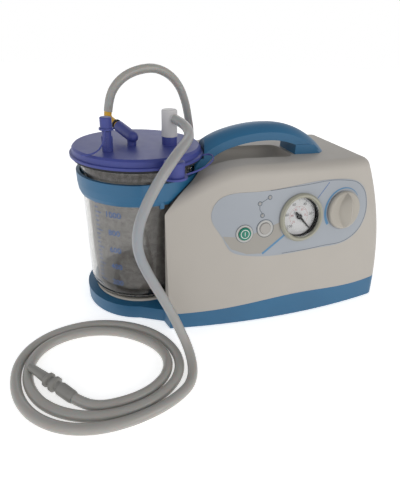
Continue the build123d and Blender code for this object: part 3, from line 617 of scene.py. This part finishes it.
OUTER_NUMBERS = ["0", "20", "40", "60", "80", "100"]
INNER_NUMBERS = ["0", "15", "30", "45", "60", "75"]
scale_marks("dial_outer_scale", print_black, 20.0, 2.6, 0.42, 50, OUTER_NUMBERS, 4.4, 5.2)
scale_marks("dial_inner_scale", print_red, 11.6, 1.8, 0.36, 30, INNER_NUMBERS, 3.2, 3.4)
keep("dial_rim", ring(20.4, 21.1, on_dial(0, 0)), print_black, "pump")
print("gauge numbers", OUTER_NUMBERS, INNER_NUMBERS)

# %% [markdown]
# The suction knob is one moulding: a round skirt, and across its face a lens-shaped grip that rises
# to a ridge. A profile spun round the knob's axis gives the skirt, and its points are then raised
# under the grip.

# %% Suction knob
knob_frame = face_frame(*KNOB_AT)
knob = bmesh.new()
KNOB_PROFILE = [(0, 5.4), (19.4, 5.4), (20.9, 4.2), (21.3, 3.0), (21.3, 1.1)]
GRIP_HALF_LONG, GRIP_HALF_WIDE, GRIP_HIGH = 19.6, 9.5, 9.5
FACE_H = 5.0
knob_points = [knob.verts.new((r, 0, h)) for r, h in KNOB_PROFILE]
knob_lines = [knob.edges.new(pair) for pair in zip(knob_points, knob_points[1:])]
bmesh.ops.subdivide_edges(knob, edges=knob_lines[:1], cuts=40)
bmesh.ops.spin(knob, geom=knob.verts[:] + knob.edges[:], cent=(0, 0, 0), axis=(0, 0, 1), angle=2 * pi,
               steps=144, use_merge=True)
bmesh.ops.remove_doubles(knob, verts=knob.verts[:], dist=0.001)
for v in knob.verts:
    half_wide = GRIP_HALF_WIDE * (1 - (v.co.y / GRIP_HALF_LONG) ** 2)
    if v.co.z > FACE_H and half_wide > abs(v.co.x):
        inside = 1 - abs(v.co.x) / half_wide
        v.co.z += GRIP_HIGH * (1 - (v.co.y / GRIP_HALF_LONG) ** 4) * inside ** 0.75
bmesh.ops.recalc_face_normals(knob, faces=knob.faces[:])
for face in knob.faces:
    face.smooth = True
bmesh.ops.transform(knob, matrix=knob_frame, verts=knob.verts)
knob_piece = keep("suction_knob_moulded", knob, knob_abs, "knob")
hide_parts("suction_knob")
print("knob points", len(knob_piece.data.vertices))

# %% [markdown]
# The green key carries the usual on and off sign: a bar inside a circle. It rides on the key, so it
# goes in with it. A thin dark line rings each key's collar.

# %% Key signs
power = face_frame(*POWER_AT)


def key_height(node, frame_of_key):
    """How far a node stands out of the front face, in millimetres."""
    back = frame_of_key.inverted()
    return max((back @ v.co).z for v in nodes[node].data.vertices)


power_lift = key_height("power_button", power) + 0.06
on_key = power @ Matrix.Translation((0, 0, power_lift))
bar = bmesh.new()
bmesh.ops.create_grid(bar, x_segments=1, y_segments=1, size=0.5)
bmesh.ops.scale(bar, verts=bar.verts, vec=(0.6, 4.4, 1))
bmesh.ops.transform(bar, matrix=on_key, verts=bar.verts)
keep("power_sign", joined([bar, ring(4.1, 4.7, on_key)]), print_white, "power_key")
collars = joined([ring(9.3, 9.8, on_label(at)) for at in (POWER_AT, GREY_AT)])
keep("key_collar_lines", collars, print_dark, "pump")
print("power key stands", round(power_lift, 2), "mm out")

# %% [markdown]
# Two thin tethers of the same polyethylene as the lid. One loops from the hanging cap round to the
# rim, the other runs from the filling port's cap down to the rim.

# %% Tethers
def tether(name, route_mm, thick_mm, body):
    """A smooth thin strap with a round section, made a mesh."""
    curve = hose(name + "_line", route_mm, thick_mm, violet_pe)
    bpy.context.view_layer.update()
    mesh = bpy.data.meshes.new_from_object(curve)
    bpy.data.objects.remove(curve)
    piece = bpy.data.objects.new(name, mesh)
    bpy.context.scene.collection.objects.link(piece)
    for polygon in mesh.polygons:
        polygon.use_smooth = True
    if body:
        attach(piece, body)
    return piece


HANGING_ROUTE = [(-71.5, -66.8, 167.6), (-62, -62.5, 168), (-50, -56, 170.2), (-38.5, -46, 173.4),
                 (-34.6, -34, 175), (-37.5, -25.5, 174.8), (-43.5, -25.2, 173.6)]
CAP_ROUTE = [(-139.5, -30.6, 201.9), (-140.5, -32.8, 197), (-142.5, -35, 190.5), (-148, -38.5, 184.5),
             (-156, -41, 182.2), (-162.5, -39, 181.6)]
hanging_tether = tether("hanging_tether", HANGING_ROUTE, 1.7, "lid")
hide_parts("hanging_strap")
cap_tether = tether("cap_tether", CAP_ROUTE, 1.5, None)
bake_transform(cap_tether)
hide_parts("port_cap_strap")
print("tether points", len(HANGING_ROUTE), len(CAP_ROUTE))

# %% [markdown]
# The jar carries a plain scale: short and long marks with numbers in millilitres, printed in blue on
# its left side. Each is drawn flat and then wrapped round the wall.

# %% Jar scale
JAR_X, JAR_Y, JAR_R = -106.0, 6.0, 60.0


def wrap_on_jar(shape, turn_deg, height_mm):
    """Lay a flat drawing on the jar's wall, its origin at a turn about the jar and a height."""
    for v in shape.verts:
        turn = radians(turn_deg) + v.co.x / JAR_R
        reach = JAR_R + 0.12
        v.co = Vector((JAR_X + reach * cos(turn), JAR_Y + reach * sin(turn), height_mm + v.co.y)) * MM


SCALE_LOW, SCALE_STEP, SCALE_STEPS = 42, 5, 19
MARKS_TURN, DIGITS_TURN = -146, -124
jar_marks = []
for step in range(SCALE_STEPS):
    numbered = step % 4 == 0
    height = SCALE_LOW + SCALE_STEP * step
    width = 9 if numbered else 5
    mark = bmesh.new()
    bmesh.ops.create_grid(mark, x_segments=4, y_segments=1, size=0.5)
    bmesh.ops.scale(mark, verts=mark.verts, vec=(width, 0.7, 1))
    bmesh.ops.translate(mark, verts=mark.verts, vec=(width / 2, 0, 0))
    wrap_on_jar(mark, MARKS_TURN, height)
    jar_marks.append(mark)
    if numbered:
        digits = number(str(200 + 50 * step), 9)
        wrap_on_jar(digits, DIGITS_TURN, height)
        jar_marks.append(digits)
keep("jar_scale", joined(jar_marks), print_blue, "jar")
print("jar marks", SCALE_STEPS)

# %% [markdown]
# The liner is a bag of thin hazy film. It hangs from the lid, so it is drawn in at the neck and
# creased all round. A spun profile gives the bag, subdivided rows give it enough points, and noise
# pushes it in and out by up to a millimetre, more near the top where the film is gathered. Film is
# too thin to need two sides, so it is a single sheet.

# %% Liner film
bag = bmesh.new()
BAG_PROFILE = [(20, 25.5), (46, 26), (52.5, 33), (54.8, 60), (54.9, 100), (54.9, 140), (53.8, 158),
               (53.8, 172)]
edge_points = [bag.verts.new((JAR_X + r, JAR_Y, z)) for r, z in BAG_PROFILE]
chain = [bag.edges.new(pair) for pair in zip(edge_points, edge_points[1:])]
bmesh.ops.subdivide_edges(bag, edges=chain, cuts=7)
bmesh.ops.spin(bag, geom=bag.verts[:] + bag.edges[:], cent=(JAR_X, JAR_Y, 0), axis=(0, 0, 1),
               angle=2 * pi, steps=160, use_merge=True)
for v in bag.verts:
    away = Vector((v.co.x - JAR_X, v.co.y - JAR_Y, 0))
    if away.length > 30:
        high = min(max((v.co.z - 120) / 50, 0), 1)
        folds = noise.noise(Vector((away.x * 0.16, away.y * 0.16, v.co.z * 0.02)))
        creases = noise.noise(Vector((away.x * 0.5, away.y * 0.5, v.co.z * 0.22)))
        v.co += away.normalized() * (0.5 * folds + (0.15 + 0.6 * high) * creases)
bmesh.ops.recalc_face_normals(bag, faces=bag.faces[:])
bmesh.ops.scale(bag, verts=bag.verts, vec=(MM, MM, MM))
for face in bag.faces:
    face.smooth = True
liner = keep("liner_film", bag, liner_film, "lid")
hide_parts("liner_bag")
print("liner points", len(liner.data.vertices))

# %% [markdown]
# A pale floor and soft studio lights: a big light in front and to the right, a weaker one from the
# left and one from behind. The floor is lit paper that glows a little, as on a light table, and the
# sky is white at the horizon and grey overhead, so that upright faces are brighter than flat ones.

# %% Floor and lights
floor_mesh = bpy.data.meshes.new("floor")
sheet = bmesh.new()
bmesh.ops.create_grid(sheet, x_segments=1, y_segments=1, size=4.0)
sheet.to_mesh(floor_mesh)
sheet.free()
floor = bpy.data.objects.new("floor", floor_mesh)
bpy.context.scene.collection.objects.link(floor)
paper = start_finish("paper pale", "F7F7F6", 0.9, 1.45, Emission_Color=linear("FFFFFF"),
                     Emission_Strength=0.55)
floor_mesh.materials.append(paper)


def area_light(name, place, aim, size, power, colour):
    """A square light that looks from place to aim."""
    lamp = bpy.data.lights.new(name, "AREA")
    lamp.size = size
    lamp.energy = power
    lamp.color = linear(colour)[:3]
    fixture = bpy.data.objects.new(name, lamp)
    bpy.context.scene.collection.objects.link(fixture)
    look = (Vector(aim) - Vector(place)).to_track_quat("-Z", "Y")
    fixture.matrix_world = Matrix.Translation(place) @ look.to_matrix().to_4x4()


area_light("key light", (0.75, -1.5, 0.75), (0, 0, 0.08), 0.9, 6, "FFFDF9")
area_light("fill light", (-1.0, -1.0, 0.9), (0, 0, 0.1), 0.9, 2.0, "F6F9FF")
area_light("back light", (0.2, 1.0, 0.8), (0, 0, 0.12), 0.8, 1.5, "FFFFFF")
sky = bpy.data.worlds.new("studio sky")
bpy.context.scene.world = sky
sky.use_nodes = True
direction = add(sky, "ShaderNodeTexCoord").outputs["Generated"]
upwards = add(sky, "ShaderNodeSeparateXYZ", {"Vector": direction}).outputs["Z"]
shade = add(sky, "ShaderNodeValToRGB", {"Fac": upwards})
shade.color_ramp.elements[0].color = linear("FFFFFF")
shade.color_ramp.elements[1].color = linear("A6A8AB")
shade.color_ramp.elements[0].position = 0.12
shade.color_ramp.elements[1].position = 0.75
background = sky.node_tree.nodes["Background"]
sky.node_tree.links.new(shade.outputs["Color"], background.inputs["Color"])
background.inputs["Strength"].default_value = 1.0
bpy.context.scene.view_settings.view_transform = "Standard"
